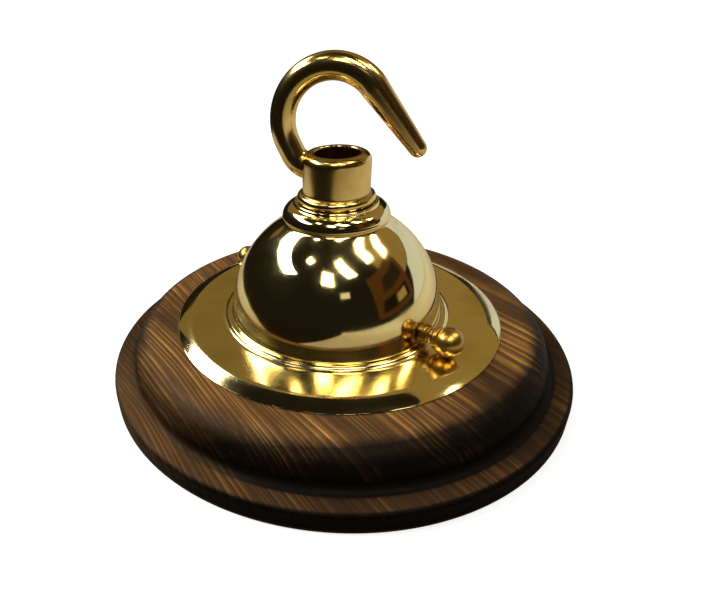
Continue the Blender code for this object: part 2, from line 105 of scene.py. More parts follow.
def hollow(section, closed, reach=0.0012):
    """How far each point of a section lies in a hollow: the middle of the chord between the points at reach
    before and after it, less the point, measured along the left-hand normal and divided by reach."""
    loop = np.vstack((section, section, section, section[:1])) if closed else section
    along = np.concatenate(([0], np.cumsum(np.linalg.norm(np.diff(loop, axis=0), axis=1))))
    count = len(section)
    here = along[count:2 * count] if closed else along
    before = np.column_stack([np.interp(here - reach, along, loop[:, k]) for k in (0, 1)])
    after = np.column_stack([np.interp(here + reach, along, loop[:, k]) for k in (0, 1)])
    chord = after - before
    normal = np.column_stack((-chord[:, 1], chord[:, 0])) / (np.linalg.norm(chord, axis=1)[:, None] + 1e-9)
    return (((before + after) / 2 - section) * normal).sum(axis=1) / reach


# Surfaces
def turned(section, sectors, closed=True, along=(0, 0, 1), across=(1, 0, 0), origin=(0, 0, 0)):
    """A section carried once round an axis: each point is origin, plus its level along the axis, plus its
    distance times the cosine and sine of the turn along the two directions square to the axis."""
    turn = np.linspace(0, 2 * np.pi, sectors, endpoint=False)
    along, across = np.array(along, float), np.array(across, float)
    other = np.cross(along, across)
    spokes = np.cos(turn)[:, None] * across + np.sin(turn)[:, None] * other
    grid = np.array(origin) + section[:, None, 1:] * along + section[:, None, :1] * spokes
    return grid, np.repeat(hollow(section, closed)[:, None], sectors, axis=1), closed


def swept(path, radius, angle, sides):
    """A round rod along a path of distances and levels in the upright plane at an angle: each ring is the path's
    point plus the radius times cosine and sine along the path's normal in that plane and the plane's own normal."""
    way = np.gradient(path, axis=0)
    way /= np.linalg.norm(way, axis=1)[:, None]
    turn = np.linspace(0, 2 * np.pi, sides, endpoint=False)
    out = np.array((math.cos(angle), math.sin(angle), 0))
    aside = np.array((-math.sin(angle), math.cos(angle), 0))
    up = np.array((0, 0, 1))
    spine = path[:, :1] * out + path[:, 1:] * up
    normal = -way[:, 1:] * out + way[:, :1] * up
    ring = np.cos(turn)[None, :, None] * normal[:, None] + np.sin(turn)[None, :, None] * aside
    grid = spine[:, None] + radius[:, None, None] * ring
    return grid, np.zeros(grid.shape[:2]), False


def piece(name, surfaces, body, slot, finish, *nodes):
    """A mesh of quads between neighbouring points of each surface's grid. Columns wrap round, rows wrap where the
    section is closed, and points that meet at a pole become one."""
    points, quads, hollows, start = [], [], [], 0
    for grid, depth, closed in surfaces:
        rows, columns = grid.shape[:2]
        index = start + np.arange(rows * columns).reshape(rows, columns)
        index = np.vstack((index, index[:1])) if closed else index
        index = np.hstack((index, index[:, :1]))
        corners = (index[:-1, :-1], index[:-1, 1:], index[1:, 1:], index[1:, :-1])
        quads.append(np.stack(corners, axis=-1).reshape(-1, 4))
        points.append(grid.reshape(-1, 3))
        hollows.append(depth.reshape(-1))
        start += rows * columns
    mesh = bpy.data.meshes.new(name)
    mesh.from_pydata(np.vstack(points), [], np.vstack(quads))
    mesh.attributes.new("hollow", "FLOAT", "POINT").data.foreach_set("value", np.concatenate(hollows))
    shape = bmesh.new()
    shape.from_mesh(mesh)
    bmesh.ops.remove_doubles(shape, verts=shape.verts, dist=1e-6)
    bmesh.ops.recalc_face_normals(shape, faces=shape.faces)
    shape.to_mesh(mesh)
    shape.free()
    mesh.shade_smooth()
    mesh.materials.append(finish)
    made = bpy.data.objects.new(name, mesh)
    bpy.context.scene.collection.objects.link(made)
    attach(made, body)
    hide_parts(*nodes)
    return made


# Colours and nodes
def shade(code, strength=1.0):
    """An sRGB hex colour as linear light with alpha."""
    value = np.array([int(code[k:k + 2], 16) for k in (1, 3, 5)]) / 255
    linear = np.where(value <= 0.04045, value / 12.92, ((value + 0.055) / 1.055) ** 2.4)
    return (*(linear * strength), 1.0)


def add(tree, kind, inputs=None, stops=None, **settings):
    """One node with its settings. An input is a value or another node's output, and stops fill a colour ramp."""
    node = tree.nodes.new("ShaderNode" + kind)
    for key, value in settings.items():
        setattr(node, key, value)
    for key, value in (inputs or {}).items():
        if isinstance(value, bpy.types.NodeSocket):
            tree.links.new(value, node.inputs[key])
        else:
            node.inputs[key].default_value = value
    for place, (position, colour) in enumerate(stops or ()):
        ramp = node.color_ramp.elements
        stop = ramp[place] if place < 2 else ramp.new(position)
        stop.position = position
        stop.color = colour
    return node


def blank(name):
    """A new material with only its output node."""
    material = bpy.data.materials.new(name)
    material.use_nodes = True
    tree = material.node_tree
    tree.nodes.clear()
    return material, tree, add(tree, "OutputMaterial")


def per_mm(size):
    """Noise scale at which one blotch is about this many millimetres."""
    return 1000.0 / size


def lacquered_brass(name, light, dark, roughness, spun):
    """Polished yellow brass under clear lacquer: a deep mirror, duller in the creases where the polishing mop doesn't
    reach and darker and warmer there, partly tarnish and partly painted shade, with faint haze and, on spun pieces,
    hair-fine rings from the lathe."""
    material, tree, output = blank(name)
    place = add(tree, "TexCoord").outputs["Object"]
    crease = add(tree, "Attribute", attribute_name="hollow").outputs["Fac"]
    # creases take the dark colour, partly tarnish and partly painted shade, and a duller polish
    crease_tarnish_and_shade = add(tree, "MapRange", {"Value": crease, "From Min": 0.06, "From Max": 0.55}).outputs["Result"]
    # haze in patches of 14 mm and polishing marks of 0.6 mm
    haze = add(tree, "TexNoise", {"Vector": place, "Scale": per_mm(14), "Detail": 3.0}).outputs["Fac"]
    marks = add(tree, "TexNoise", {"Vector": place, "Scale": per_mm(0.6), "Detail": 4.0}).outputs["Fac"]
    tone = add(tree, "Math", {0: crease_tarnish_and_shade, 1: haze}, operation="MAXIMUM").outputs[0]
    colour = add(tree, "ValToRGB", {"Fac": tone}, ((0.45, shade(light)), (1.0, shade(dark)))).outputs["Color"]
    dull = add(tree, "MapRange", {"Value": tone, "From Min": 0.3, "From Max": 1.0,
                                  "To Min": roughness, "To Max": roughness + 0.16}).outputs["Result"]
    height = marks
    if spun:
        across = add(tree, "VectorMath", {0: place, 1: (1, 1, 0)}, operation="MULTIPLY").outputs[0]
        distance = add(tree, "VectorMath", {0: across}, operation="LENGTH").outputs["Value"]
        # the flange, from 36 to 48 mm out, keeps a soft satin from the lathe
        flange = add(tree, "ValToRGB", {"Fac": add(tree, "MapRange", {"Value": distance, "From Min": 0.034,
                                                                     "From Max": 0.050}).outputs["Result"]},
                     ((0.0, (0, 0, 0, 1)), (1.0, (0, 0, 0, 1)), (0.15, (1, 1, 1, 1)), (0.85, (1, 1, 1, 1))))
        satin = add(tree, "Math", {0: flange.outputs["Color"], 1: 0.07}, operation="MULTIPLY").outputs[0]
        dull = add(tree, "Math", {0: dull, 1: satin}, operation="ADD").outputs[0]
        # lathe rings 0.7 mm apart, coarser than the real ones so that they show
        rings = add(tree, "TexNoise", {"W": distance, "Scale": per_mm(0.7), "Detail": 2.0},
                    noise_dimensions="1D").outputs["Fac"]
        height = add(tree, "Math", {0: marks, 1: rings}, operation="ADD").outputs[0]
    bump = add(tree, "Bump", {"Height": height, "Strength": 0.02, "Distance": 0.00005}).outputs["Normal"]
    metal = add(tree, "BsdfPrincipled", {"Base Color": colour, "Roughness": dull, "Metallic": 1.0, "Normal": bump})
    tree.links.new(metal.outputs["BSDF"], output.inputs["Surface"])
    return material


def stained_softwood():
    """Turned pine or fir under dark stain and satin wax. The soft early wood drinks the stain, the hard late wood
    stays as fine tan lines that come and go, and the end grain is nearly black. The stain gathers in the cove, which
    is also painted nearly black as shade; the slopes are darker, partly from stain and partly as painted shade, and
    the foot is darkened as painted shade."""
    material, tree, output = blank("dark_stained_softwood")
    coordinates = add(tree, "TexCoord").outputs
    # the fibres run 53 degrees clockwise from +X; after turning, X is along them
    to_fibres = math.radians(53)
    place = add(tree, "Mapping", {"Vector": coordinates["Object"], "Rotation": (0, 0, to_fibres)}).outputs[0]

    def streaks(source, length, size, detail):
        """Noise of blotches this many millimetres across, drawn out along the fibres by a factor."""
        drawn = add(tree, "Mapping", {"Vector": source, "Scale": (1 / length, 1, 1)}).outputs[0]
        return add(tree, "TexNoise", {"Vector": drawn, "Scale": per_mm(size), "Detail": detail}).outputs

    # the yearly rings wander by up to 6 mm from round
    drift = add(tree, "VectorMath", {0: streaks(place, 4, 34, 2.0)["Color"], 1: (0.5, 0.5, 0.5)},
                operation="SUBTRACT").outputs[0]
    wander = add(tree, "VectorMath", {0: drift, "Scale": 0.013}, operation="SCALE").outputs[0]
    grown = add(tree, "VectorMath", {0: place, 1: wander}, operation="ADD").outputs[0]
    # the tree's heart lies 70 mm across the fibres and 50 mm above the block's back
    from_heart = add(tree, "VectorMath", {0: grown, 1: (0, 0.070, 0.050)}, operation="SUBTRACT").outputs[0]
    plane = add(tree, "VectorMath", {0: from_heart, 1: (0, 1, 1)}, operation="MULTIPLY").outputs[0]
    radius = add(tree, "VectorMath", {0: plane}, operation="LENGTH").outputs["Value"]
    # yearly rings: 48 out to 131 mm, closer together outwards, some years fatter than others
    share = add(tree, "Math", {0: radius, 1: 0.131}, operation="DIVIDE").outputs[0]
    years = add(tree, "Math", {0: share, 1: 1.8}, operation="POWER").outputs[0]
    uneven = add(tree, "TexNoise", {"W": radius, "Scale": per_mm(7), "Detail": 1.0},
                 noise_dimensions="1D").outputs["Fac"]
    drifted = add(tree, "Math", {0: uneven, 1: 3.0}, operation="MULTIPLY").outputs[0]
    count = add(tree, "Math", {0: years, 1: 48.0, 2: drifted}, operation="MULTIPLY_ADD").outputs[0]
    ring = add(tree, "Math", {0: count}, operation="FRACT").outputs[0]
    late = add(tree, "ValToRGB", {"Fac": ring}, (
        (0.0, (0.12, 0.12, 0.12, 1)), (1.0, (0.1, 0.1, 0.1, 1)), (0.35, (0.16, 0.16, 0.16, 1)),
        (0.70, (0.5, 0.5, 0.5, 1)), (0.86, (0.9, 0.9, 0.9, 1)))).outputs["Color"]
    # lines come and go along the fibres, in patches about 9 mm wide
    patch = add(tree, "MapRange", {"Value": streaks(grown, 5, 9, 3.0)["Fac"], "From Min": 0.38, "From Max": 0.66,
                                   "To Min": 0.05, "To Max": 1.0}).outputs["Result"]
    lines = add(tree, "Math", {0: late, 1: patch}, operation="MULTIPLY").outputs[0]
    # the foot, below 10 mm, was sanded more and shows its lines less
    level = add(tree, "SeparateXYZ", {"Vector": coordinates["Object"]}).outputs["Z"]
    sanded = add(tree, "MapRange", {"Value": level, "From Min": 0.0070, "From Max": 0.0100,
                                    "To Min": 0.45, "To Max": 1.0}).outputs["Result"]
    lines = add(tree, "Math", {0: lines, 1: sanded}, operation="MULTIPLY").outputs[0]
    # fibres about 0.8 mm wide, coarser than the real ones so that they show, and blotches of stain 22 mm wide
    fibres = streaks(grown, 40, 0.8, 4.0)["Fac"]
    blotch = streaks(grown, 2.5, 22, 3.0)["Fac"]
    colour = add(tree, "ValToRGB", {"Fac": lines}, (
        (0.0, shade("#46311e")), (1.0, shade("#bf914e")), (0.3, shade("#75522a")))).outputs["Color"]
    fibre_tone = add(tree, "MapRange", {"Value": fibres, "From Min": 0.3, "From Max": 0.7,
                                        "To Min": 0.72, "To Max": 1.22}).outputs["Result"]
    blotch_tone = add(tree, "MapRange", {"Value": blotch, "From Min": 0.32, "From Max": 0.68,
                                         "To Min": 0.7, "To Max": 1.18}).outputs["Result"]
    # end grain: the square of how squarely the fibres meet the surface
    facing = add(tree, "VectorMath", {0: coordinates["Normal"], 1: (math.cos(to_fibres), -math.sin(to_fibres), 0)},
                 operation="DOT_PRODUCT").outputs["Value"]
    square = add(tree, "Math", {0: facing, 1: facing}, operation="MULTIPLY").outputs[0]
    end_tone = add(tree, "MapRange", {"Value": square, "From Min": 0.01, "From Max": 0.17,
                                      "To Min": 1.0, "To Max": 0.14}).outputs["Result"]
    # where round the outline the fibres end: the square of their direction's share along the way out
    way_out = add(tree, "VectorMath", {0: place, 1: (1, 1, 0)}, operation="MULTIPLY").outputs[0]
    way_out = add(tree, "VectorMath", {0: way_out}, operation="NORMALIZE").outputs[0]
    along = add(tree, "SeparateXYZ", {"Vector": way_out}).outputs["X"]
    along = add(tree, "Math", {0: along, 1: along}, operation="MULTIPLY").outputs[0]
    ends = add(tree, "MapRange", {"Value": along, "From Min": 0.05, "From Max": 0.4,
                                  "To Min": 0.25, "To Max": 1.0}).outputs["Result"]
    # turned slopes are darker than the flat top, partly from more stain where they cut across the fibres and partly
    # as painted shade
    upright = add(tree, "SeparateXYZ", {"Vector": coordinates["Normal"]}).outputs["Z"]
    slope_stain_shade_loss = add(tree, "MapRange", {"Value": upright, "From Min": 0.5, "From Max": 0.98,
                                        "To Min": 0.64, "To Max": 0.0}).outputs["Result"]
    slope_stain_shade_tone = add(tree, "Math", {0: 1.0, 1: slope_stain_shade_loss}, operation="SUBTRACT").outputs[0]
    # both darken the early wood in full, and the late wood's lines only in part
    cut_stain_shade_tone = add(tree, "Math", {0: end_tone, 1: slope_stain_shade_tone}, operation="MULTIPLY").outputs[0]
    drinks = add(tree, "MapRange", {"Value": lines, "From Max": 0.8, "To Min": 1.0, "To Max": 0.75}).outputs["Result"]
    cut_stain_shade_tone = add(tree, "Math", {0: cut_stain_shade_tone, 1: drinks}, operation="POWER").outputs[0]
    tone = add(tree, "Math", {0: fibre_tone, 1: blotch_tone}, operation="MULTIPLY").outputs[0]
    tone = add(tree, "Math", {0: tone, 1: cut_stain_shade_tone}, operation="MULTIPLY").outputs[0]
    # painted shade: the foot below 12 mm is darker, most where the fibres end round the outline
    foot_shade_loss = add(tree, "MapRange", {"Value": level, "From Min": 0.005, "From Max": 0.012,
                                       "To Min": 0.72, "To Max": 0.0}).outputs["Result"]
    foot_shade_loss = add(tree, "Math", {0: foot_shade_loss, 1: ends}, operation="MULTIPLY").outputs[0]
    foot_shade_tone = add(tree, "Math", {0: 1.0, 1: foot_shade_loss}, operation="SUBTRACT").outputs[0]
    tone = add(tree, "Math", {0: tone, 1: foot_shade_tone}, operation="MULTIPLY").outputs[0]
    toned = add(tree, "VectorMath", {0: colour, "Scale": tone}, operation="SCALE").outputs[0]
    # in the hollows, most where the fibres end, the colour goes nearly black: gathered stain, and painted shade under
    # the shoulder
    crease = add(tree, "Attribute", attribute_name="hollow").outputs["Fac"]
    gathered_stain_and_shade = add(tree, "MapRange", {"Value": crease, "From Min": 0.02, "From Max": 0.34}).outputs["Result"]
    gathered_stain_and_shade = add(tree, "Math", {0: gathered_stain_and_shade, 1: ends}, operation="MULTIPLY").outputs[0]
    stain = add(tree, "Mix", {"Factor": gathered_stain_and_shade, "A": toned, "B": shade("#0d0805")}, data_type="RGBA")
    worn = add(tree, "MapRange", {"Value": crease, "From Min": -0.08, "From Max": -0.4,
                                  "To Min": 0.0, "To Max": 0.3}).outputs["Result"]
    rubbed = add(tree, "Mix", {"Factor": worn, "A": stain.outputs["Result"], "B": shade("#7d5a36")},
                 data_type="RGBA")
    gloss = add(tree, "MapRange", {"Value": fibres, "To Min": 0.62, "To Max": 0.48}).outputs["Result"]
    relief = add(tree, "Math", {0: lines, 1: fibres}, operation="ADD").outputs[0]
    bump = add(tree, "Bump", {"Height": relief, "Strength": 0.25, "Distance": 0.00015}).outputs["Normal"]
    wood = add(tree, "BsdfPrincipled", {"Base Color": rubbed.outputs["Result"], "Roughness": gloss,
                                        "Specular IOR Level": 0.05, "Normal": bump})
    tree.links.new(wood.outputs["BSDF"], output.inputs["Surface"])
    return material


def zinc_plate():
    """Bright zinc plate on pressed steel: a cool, slightly spangled grey with soft reflections."""
    material, tree, output = blank("bright_zinc_plated_steel")
    place = add(tree, "TexCoord").outputs["Object"]
    spangle = add(tree, "TexVoronoi", {"Vector": place, "Scale": per_mm(1.6)}).outputs["Color"]
    grain = add(tree, "TexNoise", {"Vector": place, "Scale": per_mm(0.5), "Detail": 3.0}).outputs["Fac"]
    colour = add(tree, "ValToRGB", {"Fac": spangle}, ((0.0, shade("#b4b6b5")), (1.0, shade("#d2d3cf"))))
    dull = add(tree, "MapRange", {"Value": grain, "To Min": 0.26, "To Max": 0.42}).outputs["Result"]
    bump = add(tree, "Bump", {"Height": grain, "Strength": 0.1, "Distance": 0.00005}).outputs["Normal"]
    metal = add(tree, "BsdfPrincipled", {"Base Color": colour.outputs["Color"], "Roughness": dull,
                                         "Metallic": 1.0, "Normal": bump})
    tree.links.new(metal.outputs["BSDF"], output.inputs["Surface"])
    return material


SPUN_BRASS = lacquered_brass("spun_polished_brass", "#eedea6", "#c6a55c", 0.04, True)
CAST_BRASS = lacquered_brass("cast_polished_brass", "#dcc07c", "#7d5c2a", 0.14, False)
AGED_BRASS = lacquered_brass("aged_cast_brass", "#bf9a50", "#7a5a26", 0.26, False)
TARNISHED_BRASS = lacquered_brass("tarnished_brass", "#6e5226", "#3f2d12", 0.4, False)
WOOD = stained_softwood()
ZINC = zinc_plate()


# Pieces
def block_section():
    """Up the cable hole, over the flat top and the round shoulder, down the cove to the ledge and the foot."""
    bore, soft, under = 0.007, 0.0006, 0.0008
    flat_end = SHOULDER_RADIUS - SHOULDER_ROUND
    ledge_start, ledge_end = SHOULDER_RADIUS + COVE_ROUND, BLOCK_RADIUS - FOOT_ROUND
    round_level = FOOT_LEVEL - FOOT_ROUND
    return chain(
        run((bore, soft), (bore, BLOCK_TOP - soft), 5),
        arc((bore + soft, BLOCK_TOP - soft), (soft, soft), 180, 90, 5),
        run((bore + soft, BLOCK_TOP), (flat_end, BLOCK_TOP), 24),
        arc((flat_end, COVE_LEVEL), (SHOULDER_ROUND, BLOCK_TOP - COVE_LEVEL), 90, 0, 30),
        arc((ledge_start, COVE_LEVEL), (COVE_ROUND, COVE_ROUND), 180, 270, 12),
        run((ledge_start, FOOT_LEVEL), (ledge_end, FOOT_LEVEL), 13),
        arc((ledge_end, round_level), (FOOT_ROUND, FOOT_ROUND), 90, 0, 9),
        run((BLOCK_RADIUS, round_level), (BLOCK_RADIUS, under), 6),
        arc((BLOCK_RADIUS - under, under), (under, under), 0, -90, 6),
        run((BLOCK_RADIUS - under, 0.0), (bore + soft, 0.0), 24),
        arc((bore + soft, soft), (soft, soft), 270, 180, 5))


def cover_section():
    """Outside from the cup's hole over the cup, neck, dome, step, flat flange and rolled rim, then back up
    inside."""
    flange = COVER_SEAT + 0.0016
    step = flange + 0.0010
    cup_base = CUP_TOP - 0.0050
    cup_edge = 0.0163
    waist = cup_edge - 0.0006
    neck = 0.0192
    neck_level = DOME_LEVEL + DOME_RISE * math.sqrt(1 - (neck / DOME_RADIUS) ** 2)
    slope = (DOME_RISE / DOME_RADIUS) ** 2 * neck / (neck_level - DOME_LEVEL)
    crease = step + 0.0007
    low = math.degrees(math.asin((crease - DOME_LEVEL) / DOME_RISE))
    high = math.degrees(math.acos(neck / DOME_RADIUS))
    dome_foot = DOME_RADIUS * math.cos(math.radians(low))
    step_edge, step_round = 0.03615, 0.0012
    edge = COVER_RADIUS
    brim_start = step_edge + 0.0012, flange - 0.0001
    roll_start = edge - 0.0055, flange
    roll_turn = edge - 0.0041, flange - 0.00014
    roll_end = edge - 0.0003, flange - 0.0015
    inner = DOME_RADIUS - SHEET, DOME_RISE - SHEET
    under = flange - SHEET
    cap, cap_edge = CUP_TOP - SHEET, 0.0120 - SHEET
    inner_high = math.degrees(math.acos((neck - SHEET) / inner[0]))
    inner_low = math.degrees(math.asin((step - DOME_LEVEL) / inner[1]))
    return chain(
        run((BORE_RADIUS, CUP_TOP), (BEAD_RADIUS - 0.0001, CUP_TOP), 8),
        arc((BEAD_RADIUS + 0.0005, CUP_TOP + 0.0001), (0.00045, 0.00045), 200, -20, 12),
        sway((BEAD_RADIUS + 0.0010, CUP_TOP - 0.0004), (0.0152, CUP_TOP - 0.0006),
             (0.01615, CUP_TOP - 0.0030), 14),
        arc((waist, cup_base + 0.0012), (0.0006, 0.0006), 40, -80, 10),
        run((waist, cup_base + 0.0005), (waist, cup_base), 4),
        sway((waist, cup_base), (waist, neck_level + slope * (neck - waist)), (neck, neck_level), 16),
        arc((0, DOME_LEVEL), (DOME_RADIUS, DOME_RISE), high, low, 72),
        sway((dome_foot, crease), (dome_foot, step), (dome_foot + 0.0006, step), 8),
        run((dome_foot + 0.0006, step), (step_edge - step_round, step), 4),
        arc((step_edge - step_round, step - 0.0009), (step_round, 0.0009), 90, 12, 10),
        sway((step_edge, step - 0.0007), (step_edge + 0.0002, flange), brim_start, 8),
        sway(brim_start, (0.0430, flange - 0.0002), roll_start, 24),
        sway(roll_start, (edge - 0.0047, flange + 0.00004), roll_turn, 10),
        sway(roll_turn, (edge - 0.0017, flange - 0.00087), roll_end, 18),
        sway(roll_end, (edge, flange - 0.00157), (edge, COVER_SEAT), 4),
        run((edge - SHEET, COVER_SEAT), (edge - 0.0045, under), 8),
        run((edge - 0.0045, under), (step_edge, under), 12),
        run((step_edge, under), (step_edge - 0.0009, step - SHEET), 4),
        run((step_edge - 0.0009, step - SHEET), (inner[0] + 0.0004, step - SHEET), 6),
        arc((0, DOME_LEVEL), inner, inner_low, inner_high, 40),
        run((waist - SHEET, cup_base), (cap_edge, cap), 8),
        run((cap_edge, cap), (BORE_RADIUS, cap), 5))


def collar_section():
    """Up the bore, over the rounded rim, down the straight collar and round the bead to the foot."""
    top = COLLAR_FOOT + COLLAR_HEIGHT
    bead, lip, soft, fillet = 0.00135, 0.0023, 0.0005, 0.0004
    bead_top = COLLAR_FOOT + 2 * bead
    return chain(
        run((BORE_RADIUS, COLLAR_FOOT), (BORE_RADIUS, top - soft), BORE_ROWS),
        arc((BORE_RADIUS + soft, top - soft), (soft, soft), 180, 90, 6),
        run((BORE_RADIUS + soft, top), (COLLAR_RADIUS - lip, top), 4),
        arc((COLLAR_RADIUS - lip, top - lip), (lip, lip), 90, 0, 16),
        run((COLLAR_RADIUS, top - lip), (COLLAR_RADIUS, bead_top + fillet), 14),
        sway((COLLAR_RADIUS, bead_top + fillet), (COLLAR_RADIUS, bead_top), (COLLAR_RADIUS + fillet, bead_top), 5),
        arc((BEAD_RADIUS - bead, COLLAR_FOOT + bead), (bead, bead), 90, -90, 22),
        run((BEAD_RADIUS - bead, COLLAR_FOOT), (BORE_RADIUS, COLLAR_FOOT), 6))


def hook_path():
    """Distances and levels along the rod, from inside the collar's wall round the bend to the tip, with the
    rod's radius: it flares into the collar, tapers along the tine and ends in a half ball."""
    centre = np.array((-0.0015, COLLAR_FOOT + COLLAR_HEIGHT + 0.0082))
    bend, limb_angle, tine_angle = 0.0143, 206.5, 39.0
    rod, tip, root_bend, limb_length, tine_length = 0.0037, 0.0024, 0.0060, 0.0032, 0.0225
    root_rows, limb_rows, bend_rows, tine_rows = 24, 12, 90, 30
    limb = np.radians(limb_angle)
    spoke, lean = np.array((np.cos(limb), np.sin(limb))), np.array((-np.sin(limb), np.cos(limb)))
    limb_foot = centre + bend * spoke + limb_length * lean
    root = arc(limb_foot - root_bend * spoke, (root_bend, root_bend), limb_angle + 56, limb_angle, root_rows)
    tine = np.radians(tine_angle)
    way = np.array((np.sin(tine), -np.cos(tine)))
    turn = arc(centre, (bend, bend), limb_angle, tine_angle, bend_rows)
    shank = run(turn[-1], turn[-1] + way * (tine_length - tip), tine_rows)
    cap = np.radians(np.linspace(0, 90, 14))
    nose = shank[-1] + way * (tip * np.sin(cap))[:, None]
    # the point that closes the rod lies one step further into the wall, since a step needs a direction
    closing = 2 * root[:1] - root[1:2]
    path = np.vstack((closing, root, run(root[-1], turn[0], limb_rows)[1:-1], turn, shank[1:], nose[1:]))
    flare = 0.0003 * np.linspace(1, 0, root_rows) ** 2
    radius = np.concatenate(([0.0], rod + flare, np.full(limb_rows - 2 + bend_rows, rod),
                             np.linspace(rod, tip, tine_rows)[1:], tip * np.cos(cap[1:])))
    return path, radius


def screw_section():
    """From the tip of the shank outwards: shank, small round collar, narrow neck, bead and ball."""
    ball, centre = 0.0044, 0.0422
    bead, bead_centre, bead_core, bead_half = 0.0033, 0.0387, 0.0012, 0.0013
    shank, tip, disc, neck = 0.0020, 0.02732, 0.0026, 0.0017
    inner, outer = 0.03522, 0.03662
    half, bevel = (outer - inner) / 2, 0.0004
    return chain(
        run((0.0, tip), (shank - bevel, tip), 4),
        run((shank - bevel, tip), (shank, tip + bevel), 3),
        run((shank, tip + bevel), (shank, inner), 10),
        run((shank, inner), (disc - half, inner), 2),
        arc((disc - half, inner + half), (half, half), -90, 90, 12),
        sway((disc - half, outer), (neck, outer), (neck, outer + 0.0006), 6),
        arc((bead_core, bead_centre), (bead - bead_core, bead_half), -80, 20, 20),
        arc((0.0, centre), (ball, ball), -44, 90, 36))


def washer_section(inner, outer, low, high, edge):
    """A flat ring with softened edges."""
    return chain(
        run((inner, low + edge), (inner, high - edge), 3),
        arc((inner + edge, high - edge), (edge, edge), 180, 90, 4),
        arc((outer - edge, high - edge), (edge, edge), 90, 0, 4),
        arc((outer - edge, low + edge), (edge, edge), 0, -90, 4),
        arc((inner + edge, low + edge), (edge, edge), 270, 180, 4))


block = turned(block_section(), 256)
# the whole cove counts as a deep hollow, nearly black with gathered stain and painted shade, and the foot's round
# edge isn't rubbed
distance, level = block_section().T
in_cove = ((level > FOOT_LEVEL - 0.0002) & (level < COVE_LEVEL + 0.0004)
           & (distance > SHOULDER_RADIUS - 0.0002) & (distance < SHOULDER_RADIUS + COVE_ROUND - 0.0001))
on_foot = (distance > BLOCK_RADIUS - 0.0040) & (level > 0.001)
block[1][in_cove] = 0.34
block[1][on_foot] = 0.0
piece("turned_block", [block], "base", "dark_stained_pine", WOOD, "pattress_block")
piece("spun_cover", [turned(cover_section(), 256)], "base", "polished_brass", SPUN_BRASS, "cover")
collar = turned(collar_section(), 128)
# the bore, the first rows of the collar's section, counts as deep in a hollow: it is never polished, so it is duller,
# and its darker colour is partly tarnish and partly painted shade
collar[1][:BORE_ROWS] = 1.0
piece("collar_and_hook", [collar, swept(*hook_path(), HOOK_ANGLE, 56)],
      "hook", "polished_brass", CAST_BRASS, "hook_casting")
NIPPLE_WALL = 0.0016
nipple = washer_section(NIPPLE_RADIUS - NIPPLE_WALL, NIPPLE_RADIUS, NIPPLE_LOW, NIPPLE_HIGH, 0.0003)
piece("nipple_tube", [turned(nipple, 96)], "hook", "polished_brass", TARNISHED_BRASS, "hollow_nipple")
for side, angle in (("front", SCREW_ANGLE), ("back", SCREW_ANGLE + math.pi)):
    line = (math.cos(angle), math.sin(angle), 0)
    aside = (-math.sin(angle), math.cos(angle), 0)
    level = (0, 0, SCREW_LEVEL)
    piece(f"ball_screw_{side}", [turned(screw_section(), 48, False, line, aside, level)], f"{side}_screw",
          "polished_brass", AGED_BRASS, f"thumb_screw_{side}")
    ring = washer_section(inner=0.0023, outer=0.0028, low=0.03402, high=0.03492, edge=0.0001)
    piece(f"ring_washer_{side}", [turned(ring, 48, True, line, aside, level)], f"{side}_washer",
          "polished_brass", AGED_BRASS, f"thumb_washer_{side}")
# the solids inside keep their shapes and take these finishes
INNER_FINISHES = {"fixing_strap": ZINC, "strap_screw_front": ZINC, "strap_screw_back": ZINC,
                  "flat_washer": ZINC, "spring_washer": ZINC, "lock_nut": CAST_BRASS}
for node, finish in INNER_FINISHES.items():
    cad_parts[node].data.materials.clear()
    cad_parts[node].data.materials.append(finish)


# Studio
def panel(name, corners, distance, code, strength, lights=True, shows=True):
    """A glowing card on a sphere about the object, seen only as light and in reflections. Its corners are
    bearings and heights in degrees, in turn round the card, and points between them are shared out evenly. A card
    that doesn't light the set shows only in the polish, and one that doesn't show only lights it."""
    first, second, third, fourth = (np.radians(corner) for corner in corners)
    u, v = np.meshgrid(np.linspace(0, 1, 13), np.linspace(0, 1, 9))
    u, v = u[..., None], v[..., None]
    angles = (first * (1 - u) + second * u) * (1 - v) + (fourth * (1 - u) + third * u) * v
    across, up = angles[..., 0], angles[..., 1]
    points = np.stack((np.sin(across) * np.cos(up), np.cos(across) * np.cos(up), np.sin(up)), axis=-1) * distance
    index = np.arange(u.size).reshape(u.shape[:2])
    quads = np.stack((index[:-1, :-1], index[1:, :-1], index[1:, 1:], index[:-1, 1:]), axis=-1).reshape(-1, 4)
    mesh = bpy.data.meshes.new(name)
    mesh.from_pydata(points.reshape(-1, 3), [], quads)
    material, tree, output = blank(name)
    glow = add(tree, "Emission", {"Color": shade(code), "Strength": strength})
    tree.links.new(glow.outputs[0], output.inputs["Surface"])
    mesh.materials.append(material)
    card = bpy.data.objects.new(name, mesh)
    bpy.context.scene.collection.objects.link(card)
    card.visible_camera = False
    card.visible_shadow = False
    card.visible_diffuse = lights
    card.visible_glossy = shows


def seen_directly(tree):
    """One for rays from the camera, in reflections and through glass, and nought for those that only light."""
    rays = add(tree, "LightPath").outputs
    seen = add(tree, "Math", {0: rays["Is Camera Ray"], 1: rays["Is Glossy Ray"]}, operation="ADD").outputs[0]
    return add(tree, "Math", {0: seen, 1: rays["Is Transmission Ray"]}, operation="ADD").outputs[0]


